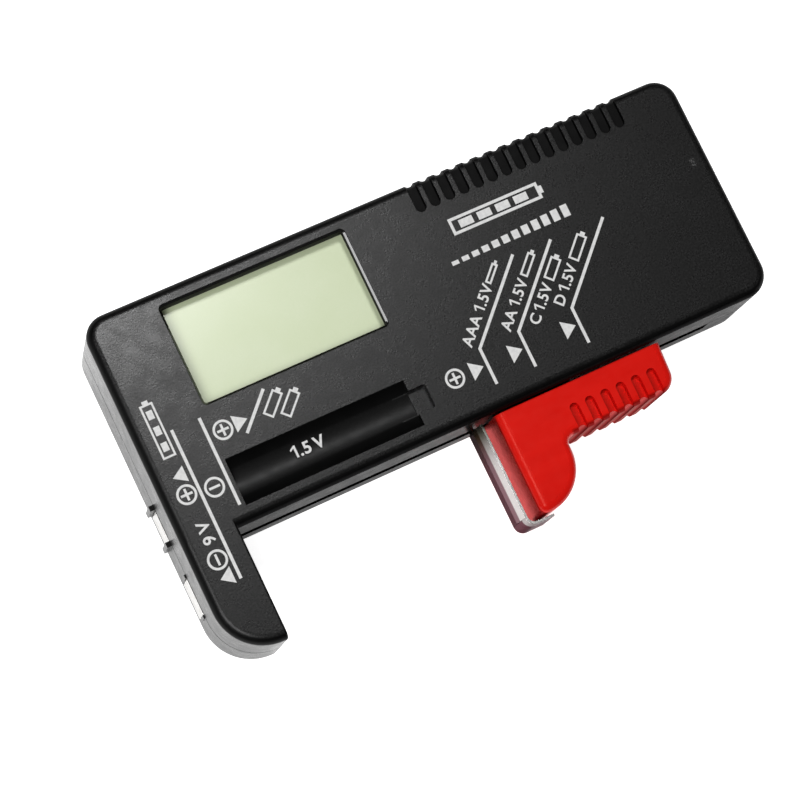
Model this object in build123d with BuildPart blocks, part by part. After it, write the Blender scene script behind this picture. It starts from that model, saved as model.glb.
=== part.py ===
"""Pocket battery tester: an L-shaped two-part case with a sliding contact.

Frame: +X along the case, +Y towards the display, +Z out of the front face.
The back lies on z = 0 and the origin is near the middle of the footprint.
Millimetres throughout.
"""
import os

from build123d import *

# Case: a long body with an arm that reaches down at its left end.
CASE_LENGTH = 108.6
BODY_HEIGHT = 40.4
TOTAL_HEIGHT = 59.7
DEPTH = 21.0
ARM_WIDTH = 9.3
WALL = 1.8
GUARD_REACH = 0.8
PARTING_Z = 10.0

LEFT = -53.6
RIGHT = LEFT + CASE_LENGTH
ARM_LOW = -29.65
TOP = ARM_LOW + TOTAL_HEIGHT
BODY_LOW = TOP - BODY_HEIGHT
ARM_INNER = LEFT + ARM_WIDTH

TOP_CORNER = 4.0
LOW_CORNER = 4.3
ARM_TOE = 8.6
FACE_ROUND = 1.6
BACK_ROUND = 1.8
SEAM_CHAMFER = 0.15
ARM_EDGE = 0.4
FRONT_INNER = DEPTH - WALL

# The tongue of the back cover fits a rabbet in the front cover.
TONGUE = 0.8
TONGUE_GAP = 0.1
TONGUE_HEIGHT = 1.2
RABBET_HEIGHT = 1.4

# Finger grooves over the top edge.
GROOVE_COUNT = 15
GROOVE_PITCH = 2.68
GROOVE_WIDTH = 1.9
GROOVE_FIRST_X = 5.8
GROOVE_REACH = 5.4
GROOVE_DEPTH = 1.0
GROOVE_SIDE_DEPTH = 0.5
GROOVE_FOOT_Z = 3.0

# Display window and the recess shaped like a battery.
WINDOW_WIDTH = 32.6
WINDOW_HEIGHT = 17.2
WINDOW_X = -24.3
WINDOW_Y = 18.55
WINDOW_CHAMFER = 0.4
RECESS_WIDTH = 31.9
RECESS_HEIGHT = 8.1
RECESS_X = -25.65
RECESS_Y = -3.6
RECESS_DEPTH = 1.7
NUB_WIDTH = 3.0
NUB_HEIGHT = 4.2
RECESS_FLOOR = 1.6

# Screws: four through the back, three for the board.
CASE_SCREW_PLACES = [(-49.0, 24.9), (49.3, 24.9), (49.9, -5.4), (LEFT + ARM_WIDTH / 2, -23.4)]
BOSS_RADIUS = 2.6
BOSS_JOIN_Z = 8.2
SCREW_RADIUS = 1.1
SCREW_HEAD_RADIUS = 2.0
SCREW_HEAD_HEIGHT = 1.5
SCREW_HEAD_Z = 1.6
SCREW_TIP_Z = 15.0
COUNTERBORE_RADIUS = 2.2
COUNTERBORE_DEPTH = SCREW_HEAD_Z + SCREW_HEAD_HEIGHT

# Circuit board under the display.
BOARD_LEFT = -46.0
BOARD_RIGHT = 0.6
BOARD_LOW = 0.6
BOARD_HIGH = 27.2
BOARD_Z = 11.4
BOARD_THICKNESS = 1.2
BOARD_TOP = BOARD_Z + BOARD_THICKNESS
BOARD_SCREW_PLACES = [(-36.0, 2.9), (-2.2, 2.9), (-2.2, 24.6)]
BOARD_POST_RADIUS = 2.2
BOARD_SCREW_RADIUS = 0.9
BOARD_HEAD_RADIUS = 1.7
BOARD_HEAD_HEIGHT = 1.2

# Components hanging under the board, and axial ones with bent leads.
BLOB_PLACE = (-27.0, 16.0)
BLOB_RADIUS = 7.0
BLOB_HEIGHT = 1.7
CHIP_LENGTH = 2.0
CHIP_WIDTH = 1.25
CHIP_RESISTOR_PLACES = [(-38.0, 21.0 - 2.6 * k) for k in range(5)]
CHIP_CAPACITOR_PLACES = [(-18.5, 22.0), (-18.5, 19.0), (-35.0, 10.0), (-31.0, 8.0)]
AXIAL_X = -9.5
AXIAL_GAP = 0.4
AXIAL_LEAD_RADIUS = 0.3
LOAD_RESISTOR_Y = (22.0, 17.5)
DIODE_Y = 13.2
INDUCTOR_PLACE = (-20.0, 9.0)
INDUCTOR_HEIGHT = 4.6
INDUCTOR_CORE_RADIUS = 2.4
INDUCTOR_WINDOW_RADIUS = 4.0
CAPACITOR_PLACE = (-9.5, 7.2)
CAPACITOR_RADIUS = 2.5
CAPACITOR_HEIGHT = 6.2

# Display stack, measured down from the front face.
DISPLAY_WIDTH = 36.4
DISPLAY_LOW = 6.6
DISPLAY_HIGH = 27.6
DISPLAY_TOP = DEPTH - 3.4
FILM = 0.2
GLASS = 1.9
GLASS_Z = DISPLAY_TOP - FILM - GLASS
FRAME_WALL = 1.2

# Slot along the body's lower side, and the rod that the slider rides on.
SLOT_LOW_Z = 6.6
SLOT_LEFT = ARM_INNER
SLOT_RIGHT = 45.4
ROD_RADIUS = 1.0
ROD_Y = -5.6
ROD_Z = 8.3
ROD_LEFT = -45.9
ROD_RIGHT = 47.2
ROD_RUNNING_GAP = 0.06
ROD_POST_LEFT = (-45.2, -41.7)
ROD_POST_RIGHT = (45.2, 47.2)
ROD_POST_Y = (-7.9, -3.3)

# Slider: grip outside, carriage inside, joined by a tongue through the slot.
GRIP_LEFT = 2.3
GRIP_RIGHT = 33.3
GRIP_TOP = BODY_LOW - 0.3
GRIP_LOW = -18.75
GRIP_DRAFT = 0.5
GRIP_HEEL = 3.0
GRIP_CROOK = 1.4
GRIP_BACK = 3.2
GRIP_FRONT = 18.5
NOSE_X = 3.8
NOSE_Y = -20.75
NOSE_RADIUS = 7.9
GRIP_GROOVES = 6
GRIP_GROOVE_PITCH = 2.9
GRIP_GROOVE_FIRST_X = 15.0
GRIP_GROOVE_RADIUS = 0.85
GRIP_GROOVE_TOP = -14.9
GRIP_GROOVE_DEPTH = 1.2
CARRIAGE_X = (0.9, 20.0)
CARRIAGE_Y = (-8.2, -3.0)
CARRIAGE_Z = (5.4, 11.2)
NECK_X = (5.0, 19.0)
NECK_LOW = -15.4
NECK_Z = (6.9, 9.7)
SLIDER_SCREW = (12.0, -13.3)
SLIDER_SCREW_TIP = 13.6
SLIDER_BORE_RADIUS = 2.0
SLIDER_BORE_DEPTH = 2.0
RIVET_PLACES = [(9.0, ROD_Y), (15.0, ROD_Y)]
RIVET_RADIUS = 0.6
RIVET_Z = 10.2
WIPER = 0.3
WIPER_WIDTH = 2.4

# Metal strip contacts.
STRIP = 0.4
LEAF_X = -0.5
LEAF_Z = (6.3, 16.0)
LEAF_CREASE = 0.45
LEAF_TOP = BODY_LOW - 0.4
LEAF_LOW = -27.7
LIP_RADIUS = 1.7
LIP_LENGTH = 3.0
TAIL_TOP = -6.9
TAIL_Z = (7.1, 9.5)
NINE_VOLT_PITCH = 12.7
NINE_VOLT_TOP_Y = -3.7
NINE_VOLT_HALF = {"positive": 2.8, "negative": 3.3}
NINE_VOLT_Z = (3.2, 9.6)
NINE_VOLT_DEPTH = 2.6
ARM_PLATE_Y = (-27.4, -13.2)
ARM_PLATE_Z = (5.2, 15.6)
ARM_TAB_Z = (7.0, 9.4)
ARM_TAB_LEFT = -49.0

WIRE_RADIUS = 0.45

os.makedirs("parts", exist_ok=True)


def save(part, name):
    """Label a finished piece and write it as its own STEP file."""
    part.label = name
    export_step(part, f"parts/{name}.step")


def span(low_high):
    """Middle and length of a (low, high) pair."""
    return (low_high[0] + low_high[1]) / 2, low_high[1] - low_high[0]


def block(x_range, y_range, z_range):
    """A plain block between three (low, high) pairs."""
    x, width = span(x_range)
    y, height = span(y_range)
    z, depth = span(z_range)
    with BuildPart() as solid:
        with Locations((x, y, z)):
            Box(width, height, depth)
    return solid.part


def posts(places, radius, z_range):
    """Round posts at several places between two heights."""
    with BuildPart() as solid:
        with BuildSketch(Plane.XY.offset(z_range[0])):
            with Locations(*places):
                Circle(radius)
        extrude(amount=z_range[1] - z_range[0])
    return solid.part


def case_outline(inset):
    """The L-shaped outline, moved inwards by the inset."""
    toe = min(ARM_TOE - inset, ARM_WIDTH - 2 * inset - 0.4)
    left, right, top = LEFT + inset, RIGHT - inset, TOP - inset
    low, arm, foot = BODY_LOW + inset, ARM_INNER - inset, ARM_LOW + inset
    with BuildSketch() as sketch:
        with BuildLine():
            Polyline(
                (left, foot), (arm, foot), (arm, low), (right, low), (right, top), (left, top),
                close=True,
            )
        make_face()
        rounds = (
            ((left, foot), toe), ((right, low), LOW_CORNER - inset),
            ((right, top), TOP_CORNER - inset), ((left, top), TOP_CORNER - inset),
        )
        for corner, radius in rounds:
            fillet(sketch.vertices().sort_by_distance(corner)[0], radius=radius)
    return sketch.sketch


def case_layer(inset, z_range):
    """A slab of the case outline between two heights."""
    with BuildPart() as slab:
        with BuildSketch(Plane.XY.offset(z_range[0])):
            add(case_outline(inset))
        extrude(amount=z_range[1] - z_range[0])
    return slab.part


def rounded_half(z_range, face_is_high, radius):
    """Half of the case as a solid: body and arm, with the outer face's edge rounded.

    The arm's inner edge stays sharp, so the body's lower rounding stops against the arm.
    """
    face, seam = (-1, 0) if face_is_high else (0, -1)
    height = z_range[1] - z_range[0]
    with BuildPart() as body:
        with BuildSketch(Plane.XY.offset(z_range[0])) as sketch:
            with Locations((LEFT + CASE_LENGTH / 2, TOP - BODY_HEIGHT / 2)):
                Rectangle(CASE_LENGTH, BODY_HEIGHT)
            fillet(sketch.vertices().group_by(Axis.Y)[-1], radius=TOP_CORNER)
            low_corner = (RIGHT, BODY_LOW, z_range[0])
            fillet(sketch.vertices().sort_by_distance(low_corner)[0], radius=LOW_CORNER)
        extrude(amount=height)
        fillet(body.faces().sort_by(Axis.Z)[face].edges(), radius=radius)
        chamfer(body.faces().sort_by(Axis.Z)[seam].edges(), length=SEAM_CHAMFER)
    with BuildPart() as arm:
        arm_top = BODY_LOW + 2 * radius
        with BuildSketch(Plane.XY.offset(z_range[0])) as sketch:
            with Locations((LEFT, ARM_LOW)):
                Rectangle(ARM_WIDTH, arm_top - ARM_LOW, align=(Align.MIN, Align.MIN))
            toe = (LEFT, ARM_LOW, z_range[0])
            fillet(sketch.vertices().sort_by_distance(toe)[0], radius=ARM_TOE)
        extrude(amount=height)
        rim = arm.faces().sort_by(Axis.Z)[face].edges()
        fillet(rim.sort_by(Axis.Y)[:-1].sort_by(Axis.X)[:-1], radius=radius)
        chamfer(arm.faces().sort_by(Axis.Z)[seam].edges(), length=SEAM_CHAMFER)
    with BuildPart() as half:
        add(body.part)
        add(arm.part)
        near_inner = (ARM_INNER - 0.01, ARM_INNER + 0.01)
        inner = half.edges().filter_by(Axis.Y).filter_by_position(Axis.X, *near_inner)
        fillet(inner.sort_by(Axis.Z)[face], radius=ARM_EDGE)
    return half.part


def groove_cutter():
    """Finger grooves: round-ended channels in the face, shallower slots down the side."""
    with BuildPart() as cutter:
        xs = [GROOVE_FIRST_X + GROOVE_PITCH * k for k in range(GROOVE_COUNT)]
        low = TOP - GROOVE_REACH
        with BuildSketch(Plane.XY.offset(DEPTH - GROOVE_DEPTH)):
            with Locations(*[(x, low + GROOVE_WIDTH / 2) for x in xs]):
                Circle(GROOVE_WIDTH / 2)
                Rectangle(GROOVE_WIDTH, GROOVE_REACH, align=(Align.CENTER, Align.MIN))
        extrude(amount=2 * GROOVE_DEPTH)
        with BuildSketch(Plane.XY.offset(GROOVE_FOOT_Z)):
            with Locations(*[(x, TOP + GROOVE_WIDTH / 2 - GROOVE_SIDE_DEPTH) for x in xs]):
                Circle(GROOVE_WIDTH / 2)
        extrude(amount=DEPTH - GROOVE_FOOT_Z)
    return cutter.part


def nine_volt_y(name):
    """Middle of a 9 V contact along Y."""
    return NINE_VOLT_TOP_Y - (NINE_VOLT_PITCH if name == "negative" else 0.0)


def rabbet_cutter():
    """The ring of room that the back cover's tongue needs inside the front cover's rim."""
    zone = (PARTING_Z, TONGUE_ZONE_Z)
    with BuildPart() as ring:
        add(case_layer(WALL - TONGUE - TONGUE_GAP, zone))
        add(case_layer(WALL + TONGUE_GAP, zone), mode=Mode.SUBTRACT)
    return ring.part


TONGUE_ZONE_Z = PARTING_Z + RABBET_HEIGHT
GROOVES = groove_cutter()
RABBET = rabbet_cutter()

# ---------------------------------------------------------------- front cover
with BuildPart() as front_cover:
    add(rounded_half((PARTING_Z, DEPTH), True, FACE_ROUND))
    add(case_layer(WALL, (PARTING_Z, FRONT_INNER)), mode=Mode.SUBTRACT)
    # Pad behind the battery-shaped recess.
    pad_x = (RECESS_X - 17.5, RECESS_X + 20.5)
    pad_y = (BODY_LOW + WALL / 2, RECESS_Y + 5.6)
    add(block(pad_x, pad_y, (DEPTH - RECESS_DEPTH - RECESS_FLOOR, FRONT_INNER)))
    # Walls that hold the display.
    frame_x = (WINDOW_X - DISPLAY_WIDTH / 2 - 0.1, WINDOW_X + DISPLAY_WIDTH / 2 + 0.1)
    frame_z = (BOARD_TOP + 0.4, FRONT_INNER)
    frame_y = (DISPLAY_LOW - 0.1 - FRAME_WALL, TOP - WALL / 2)
    add(block((frame_x[0] - FRAME_WALL, frame_x[0]), frame_y, frame_z))
    add(block((frame_x[1], frame_x[1] + FRAME_WALL), frame_y, frame_z))
    add(block(frame_x, (frame_y[0], frame_y[0] + FRAME_WALL), frame_z))
    # Posts for the case screws and the board screws, and fingers that press on the rod.
    add(posts(CASE_SCREW_PLACES, BOSS_RADIUS, (BOSS_JOIN_Z, FRONT_INNER)))
    add(posts(BOARD_SCREW_PLACES, BOARD_POST_RADIUS, (BOARD_TOP, FRONT_INNER)))
    for ends in (ROD_POST_LEFT, ROD_POST_RIGHT):
        add(block(ends, (ROD_Y - 0.8, ROD_Y + 0.8), (ROD_Z + ROD_RADIUS, FRONT_INNER)))
    add(RABBET, mode=Mode.SUBTRACT)
    case_hole_z = (BOSS_JOIN_Z, SCREW_TIP_Z)
    board_hole_z = (BOARD_TOP, FRONT_INNER - 1.6)
    add(posts(CASE_SCREW_PLACES, SCREW_RADIUS, case_hole_z), mode=Mode.SUBTRACT)
    add(posts(BOARD_SCREW_PLACES, BOARD_SCREW_RADIUS, board_hole_z), mode=Mode.SUBTRACT)
    # Display window with a chamfered rim.
    with BuildSketch(Plane.XY.offset(FRONT_INNER - 1)):
        with Locations((WINDOW_X, WINDOW_Y)):
            RectangleRounded(WINDOW_WIDTH, WINDOW_HEIGHT, 0.5)
    extrude(amount=WALL + 2, mode=Mode.SUBTRACT)
    rim = front_cover.edges().filter_by_position(Axis.Z, DEPTH - 0.01, DEPTH + 0.01)
    near_x = (WINDOW_X - WINDOW_WIDTH / 2 - 0.1, WINDOW_X + WINDOW_WIDTH / 2 + 0.1)
    near_y = (WINDOW_Y - WINDOW_HEIGHT / 2 - 0.1, WINDOW_Y + WINDOW_HEIGHT / 2 + 0.1)
    rim = rim.filter_by_position(Axis.X, *near_x).filter_by_position(Axis.Y, *near_y)
    chamfer(rim, length=WINDOW_CHAMFER)
    # Battery-shaped recess: a cylindrical trough with a nub at its right end.
    trough_radius = (RECESS_HEIGHT**2 / 4 + RECESS_DEPTH**2) / (2 * RECESS_DEPTH)
    trough_axis_z = DEPTH - RECESS_DEPTH + trough_radius
    with BuildSketch(Plane.YZ.offset(RECESS_X - RECESS_WIDTH / 2)):
        with Locations((RECESS_Y, trough_axis_z)):
            Circle(trough_radius)
    extrude(amount=RECESS_WIDTH, mode=Mode.SUBTRACT)
    with BuildSketch(Plane.XY.offset(DEPTH - RECESS_DEPTH * 0.8)):
        with Locations((RECESS_X + RECESS_WIDTH / 2, RECESS_Y)):
            RectangleRounded(2 * NUB_WIDTH, NUB_HEIGHT, 0.4)
    extrude(amount=RECESS_DEPTH, mode=Mode.SUBTRACT)
    add(GROOVES, mode=Mode.SUBTRACT)
save(front_cover.part, "front_cover")

# ---------------------------------------------------------------- back cover
with BuildPart() as back_cover:
    add(rounded_half((0, PARTING_Z), False, BACK_ROUND))
    add(case_layer(WALL, (WALL, PARTING_Z)), mode=Mode.SUBTRACT)
    add(case_layer(WALL - TONGUE, (PARTING_Z - 1, PARTING_Z + TONGUE_HEIGHT)))
    add(case_layer(WALL, (WALL, TONGUE_ZONE_Z)), mode=Mode.SUBTRACT)
    add(posts(CASE_SCREW_PLACES, BOSS_RADIUS, (WALL / 2, BOSS_JOIN_Z)))
    for ends in (ROD_POST_LEFT, ROD_POST_RIGHT):
        add(block(ends, ROD_POST_Y, (WALL / 2, PARTING_Z)))
        rod_y = (ROD_Y - ROD_RADIUS, ROD_Y + ROD_RADIUS)
        add(block(ends, rod_y, (ROD_Z, PARTING_Z)), mode=Mode.SUBTRACT)
    with BuildSketch(Plane.YZ.offset(ROD_LEFT)):
        with Locations((ROD_Y, ROD_Z)):
            Circle(ROD_RADIUS)
    extrude(amount=ROD_RIGHT - ROD_LEFT, mode=Mode.SUBTRACT)
    # Guards beside the upper 9 V contact, small ears beside the lower one.
    y_plus = nine_volt_y("positive")
    y_minus = nine_volt_y("negative")
    for side in (-1, 1):
        y = y_plus + side * (NINE_VOLT_HALF["positive"] + 0.45)
        guard_x = (LEFT - GUARD_REACH, LEFT + WALL / 2)
        add(block(guard_x, (y - 0.45, y + 0.45), (3.6, PARTING_Z - 0.2)))
        y = y_minus + side * (NINE_VOLT_HALF["negative"] + 0.3)
        ear_x = (LEFT - GUARD_REACH / 3, LEFT + WALL / 2)
        add(block(ear_x, (y - 0.3, y + 0.3), (6.6, PARTING_Z - 0.2)))
    # Openings: contact windows, arm tab notch and the slider's slot.
    for name, half in NINE_VOLT_HALF.items():
        y = nine_volt_y(name)
        window_x = (LEFT - 1, LEFT + WALL + 0.1)
        window_z = (NINE_VOLT_Z[0], TONGUE_ZONE_Z)
        add(block(window_x, (y - half, y + half), window_z), mode=Mode.SUBTRACT)
    notch_x = (ARM_INNER - WALL - 0.1, ARM_INNER + 1)
    notch_y = (ARM_PLATE_Y[1] - STRIP, ARM_PLATE_Y[1])
    add(block(notch_x, notch_y, (ARM_TAB_Z[0], TONGUE_ZONE_Z)), mode=Mode.SUBTRACT)
    slot_y = (BODY_LOW - 1, BODY_LOW + WALL + 0.1)
    add(block((SLOT_LEFT, SLOT_RIGHT), slot_y, (SLOT_LOW_Z, TONGUE_ZONE_Z)), mode=Mode.SUBTRACT)
    add(GROOVES, mode=Mode.SUBTRACT)
    with BuildSketch():
        with Locations(*CASE_SCREW_PLACES):
            Circle(COUNTERBORE_RADIUS)
    extrude(amount=COUNTERBORE_DEPTH, mode=Mode.SUBTRACT)
    add(posts(CASE_SCREW_PLACES, SCREW_RADIUS, (0, BOSS_JOIN_Z)), mode=Mode.SUBTRACT)
save(back_cover.part, "back_cover")


def screw_group(places, head_z, tip_z, shank_radius, head_radius, head_height):
    """Cross-recessed pan-head screws that point up, heads below."""
    seat_z = head_z + head_height
    with BuildPart() as group:
        for x, y in places:
            with BuildSketch(Plane(origin=(x, y, 0), x_dir=(1, 0, 0), z_dir=(0, -1, 0))):
                with BuildLine():
                    Polyline(
                        (0, head_z), (head_radius * 0.75, head_z),
                        (head_radius, head_z + head_height * 0.5), (head_radius, seat_z),
                        (shank_radius, seat_z), (shank_radius, tip_z - 1.5), (0, tip_z), close=True,
                    )
                make_face()
            revolve(axis=Axis((x, y, 0), (0, 0, 1)))
        with BuildSketch(Plane.XY.offset(head_z)):
            with Locations(*places):
                Rectangle(head_radius * 1.2, head_radius * 0.26)
                Rectangle(head_radius * 0.26, head_radius * 1.2)
        extrude(amount=head_height * 0.6, mode=Mode.SUBTRACT)
    return group.part


case_screws = screw_group(
    CASE_SCREW_PLACES, SCREW_HEAD_Z, SCREW_TIP_Z, SCREW_RADIUS, SCREW_HEAD_RADIUS, SCREW_HEAD_HEIGHT
)
save(case_screws, "case_screws")
board_screws = screw_group(
    BOARD_SCREW_PLACES, BOARD_Z - BOARD_HEAD_HEIGHT, FRONT_INNER - 1.8, BOARD_SCREW_RADIUS,
    BOARD_HEAD_RADIUS, BOARD_HEAD_HEIGHT,
)
save(board_screws, "board_screws")

# ---------------------------------------------------------------- display
display_x = (WINDOW_X - DISPLAY_WIDTH / 2, WINDOW_X + DISPLAY_WIDTH / 2)
film_x = (display_x[0] + 0.5, display_x[1] - 0.5)
with BuildPart() as display_glass:
    add(block(display_x, (DISPLAY_LOW, DISPLAY_HIGH), (GLASS_Z, GLASS_Z + GLASS)))
save(display_glass.part, "display_glass")

with BuildPart() as front_polariser:
    film_y = (DISPLAY_LOW + 2.6, DISPLAY_HIGH - 0.2)
    add(block(film_x, film_y, (DISPLAY_TOP - FILM, DISPLAY_TOP)))
save(front_polariser.part, "front_polariser")

with BuildPart() as rear_reflector:
    reflector_y = (DISPLAY_LOW + 3.6, DISPLAY_HIGH - 0.2)
    add(block(film_x, reflector_y, (GLASS_Z - FILM, GLASS_Z)))
save(rear_reflector.part, "rear_reflector")

with BuildPart() as display_gasket:
    add(block(display_x, (DISPLAY_LOW, DISPLAY_HIGH), (DISPLAY_TOP, FRONT_INNER)))
    opening_x = (WINDOW_X - WINDOW_WIDTH / 2 - 0.4, WINDOW_X + WINDOW_WIDTH / 2 + 0.4)
    opening_y = (WINDOW_Y - WINDOW_HEIGHT / 2 - 0.4, WINDOW_Y + WINDOW_HEIGHT / 2 + 0.1)
    add(block(opening_x, opening_y, (DISPLAY_TOP - 1, DEPTH)), mode=Mode.SUBTRACT)
save(display_gasket.part, "display_gasket")

with BuildPart() as elastomer_connector:
    strip_x = (display_x[0] + 2.5, display_x[1] - 2.5)
    strip_y = (DISPLAY_LOW + 0.6, DISPLAY_LOW + 2.6)
    add(block(strip_x, strip_y, (BOARD_TOP, GLASS_Z)))
save(elastomer_connector.part, "elastomer_connector")

# ---------------------------------------------------------------- circuit board
with BuildPart() as circuit_board:
    add(block((BOARD_LEFT, BOARD_RIGHT), (BOARD_LOW, BOARD_HIGH), (BOARD_Z, BOARD_TOP)))
    chamfer(circuit_board.edges().filter_by(Axis.Z), length=0.8)
    add(posts(BOARD_SCREW_PLACES, BOARD_SCREW_RADIUS, (BOARD_Z, BOARD_TOP)), mode=Mode.SUBTRACT)
save(circuit_board.part, "circuit_board")

with BuildPart() as controller_blob:
    with Locations((*BLOB_PLACE, BOARD_Z + BLOB_RADIUS - BLOB_HEIGHT)):
        Sphere(BLOB_RADIUS)
    split(bisect_by=Plane.XY.offset(BOARD_Z), keep=Keep.BOTTOM)
save(controller_blob.part, "controller_blob")


def chips(places, height):
    """Surface-mounted blocks hanging under the board."""
    with BuildPart() as group:
        with BuildSketch(Plane.XY.offset(BOARD_Z - height)):
            with Locations(*places):
                Rectangle(CHIP_LENGTH, CHIP_WIDTH)
        extrude(amount=height)
        fillet(group.edges().filter_by(Axis.Z), radius=0.12)
    return group.part


save(chips(CHIP_RESISTOR_PLACES, 0.6), "chip_resistors")
save(chips(CHIP_CAPACITOR_PLACES, 1.0), "chip_capacitors")


def axial_part(y, length, radius, half_pitch):
    """An axial body under the board with two leads bent up into it."""
    body_z = BOARD_Z - radius - AXIAL_GAP
    left, right = AXIAL_X - half_pitch, AXIAL_X + half_pitch
    with BuildPart() as solid:
        with BuildLine() as path:
            FilletPolyline(
                (left, y, BOARD_Z), (left, y, body_z), (right, y, body_z), (right, y, BOARD_Z),
                radius=0.6,
            )
        with BuildSketch(Plane(origin=path.line @ 0, z_dir=path.line % 0)):
            Circle(AXIAL_LEAD_RADIUS)
        sweep()
        with BuildSketch(Plane.YZ.offset(AXIAL_X - length / 2)):
            with Locations((y, body_z)):
                Circle(radius)
        extrude(amount=length)
        rims = solid.edges().filter_by(GeomType.CIRCLE)
        fillet(rims.filter_by(lambda edge: abs(edge.radius - radius) < 1e-6), radius=0.5)
    return solid.part


with BuildPart() as load_resistors:
    for y in LOAD_RESISTOR_Y:
        add(axial_part(y, 6.3, 1.2, 5.0))
save(load_resistors.part, "load_resistors")

with BuildPart() as rectifier_diode:
    add(axial_part(DIODE_Y, 4.0, 0.9, 3.6))
save(rectifier_diode.part, "rectifier_diode")

with BuildPart() as boost_inductor:
    with BuildSketch(Plane.XY.offset(BOARD_Z - INDUCTOR_HEIGHT)):
        with Locations(INDUCTOR_PLACE):
            Circle(INDUCTOR_CORE_RADIUS + 0.6)
    extrude(amount=INDUCTOR_HEIGHT)
    with BuildSketch(Plane.XY.offset(BOARD_Z - 3.8)):
        with Locations(INDUCTOR_PLACE):
            Circle(INDUCTOR_WINDOW_RADIUS)
            Circle(INDUCTOR_CORE_RADIUS, mode=Mode.SUBTRACT)
    extrude(amount=2.8, mode=Mode.SUBTRACT)
save(boost_inductor.part, "boost_inductor")

with BuildPart() as inductor_winding:
    with BuildSketch(Plane.XY.offset(BOARD_Z - 3.7)):
        with Locations(INDUCTOR_PLACE):
            Circle(INDUCTOR_CORE_RADIUS + 0.45)
            Circle(INDUCTOR_CORE_RADIUS, mode=Mode.SUBTRACT)
    extrude(amount=2.6)
save(inductor_winding.part, "inductor_winding")

with BuildPart() as filter_capacitor:
    with BuildSketch(Plane.XY.offset(BOARD_Z - CAPACITOR_HEIGHT)):
        with Locations(CAPACITOR_PLACE):
            Circle(CAPACITOR_RADIUS)
    extrude(amount=CAPACITOR_HEIGHT)
    fillet(filter_capacitor.faces().sort_by(Axis.Z)[0].edges(), radius=0.5)
save(filter_capacitor.part, "filter_capacitor")

# ---------------------------------------------------------------- fixed contacts and rod
with BuildPart() as guide_rod:
    with BuildSketch(Plane.YZ.offset(ROD_LEFT)):
        with Locations((ROD_Y, ROD_Z)):
            Circle(ROD_RADIUS)
    extrude(amount=ROD_RIGHT - ROD_LEFT)
    chamfer(guide_rod.edges().filter_by(GeomType.CIRCLE), length=0.2)
save(guide_rod.part, "guide_rod")


def nine_volt_contact(name):
    """A nickel strip folded into a channel: its web fills the window, one wing has a solder tab."""
    y = nine_volt_y(name)
    half = NINE_VOLT_HALF[name]
    web = (LEFT - 0.05, LEFT - 0.05 + STRIP)
    wing = (web[0], LEFT + NINE_VOLT_DEPTH)
    with BuildPart() as contact:
        add(block(web, (y - half, y + half), NINE_VOLT_Z))
        add(block(wing, (y - half, y - half + STRIP), NINE_VOLT_Z))
        add(block(wing, (y + half - STRIP, y + half), NINE_VOLT_Z))
        outer = contact.edges().filter_by(Axis.Z).group_by(Axis.X)[0]
        fillet(outer, radius=0.3)
    return contact.part


for polarity in NINE_VOLT_HALF:
    save(nine_volt_contact(polarity), f"nine_volt_{polarity}_contact")

with BuildPart() as arm_contact:
    add(block((ARM_INNER, ARM_INNER + STRIP), ARM_PLATE_Y, ARM_PLATE_Z))
    fillet(arm_contact.edges().filter_by(Axis.X), radius=1.0)
    add(block((ARM_TAB_LEFT, ARM_INNER + STRIP), notch_y, ARM_TAB_Z))
save(arm_contact.part, "arm_contact")


def wire(points, radii, name):
    """A round wire along straight runs joined by tangent arcs."""
    with BuildPart() as solid:
        with BuildLine() as path:
            FilletPolyline(*points, radius=radii)
        with BuildSketch(Plane(origin=path.line @ 0, z_dir=path.line % 0)):
            Circle(WIRE_RADIUS)
        sweep()
    length = sum(edge.length for edge in path.edges())
    print(name, "length", round(length, 1), "radii", radii)
    save(solid.part, name)


PAD_X = -44.7
PAD_Y = {"rod": 2.2, "positive": 4.4, "negative": 6.6, "arm": 8.8}
POSITIVE_WING_Y = nine_volt_y("positive") + NINE_VOLT_HALF["positive"] - STRIP / 2
NEGATIVE_WING_Y = nine_volt_y("negative") + NINE_VOLT_HALF["negative"] - STRIP / 2
WING_X = LEFT + NINE_VOLT_DEPTH

wire(
    [
        (ROD_LEFT, ROD_Y, ROD_Z), (-47.2, ROD_Y, ROD_Z), (-47.2, -1.2, ROD_Z),
        (PAD_X, PAD_Y["rod"], ROD_Z), (PAD_X, PAD_Y["rod"], BOARD_Z),
    ],
    [0.55, 3.0, 1.35],
    "rod_wire",
)
wire(
    [
        (WING_X, POSITIVE_WING_Y, 6.4), (-48.4, POSITIVE_WING_Y, 6.4),
        (PAD_X, PAD_Y["positive"], 6.4), (PAD_X, PAD_Y["positive"], BOARD_Z),
    ],
    [2.2, 2.1],
    "nine_volt_positive_wire",
)
wire(
    [
        (WING_X, NEGATIVE_WING_Y, 4.4), (-49.3, NEGATIVE_WING_Y, 4.4), (-49.3, 2.0, 4.4),
        (PAD_X, PAD_Y["negative"], 4.4), (PAD_X, PAD_Y["negative"], BOARD_Z),
    ],
    [0.75, 6.0, 2.7],
    "nine_volt_negative_wire",
)
wire(
    [
        (-48.6, ARM_PLATE_Y[1], 8.2), (-48.6, 4.0, 8.2), (PAD_X, PAD_Y["arm"], 8.2),
        (PAD_X, PAD_Y["arm"], BOARD_Z),
    ],
    [6.0, 1.35],
    "arm_wire",
)

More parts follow.
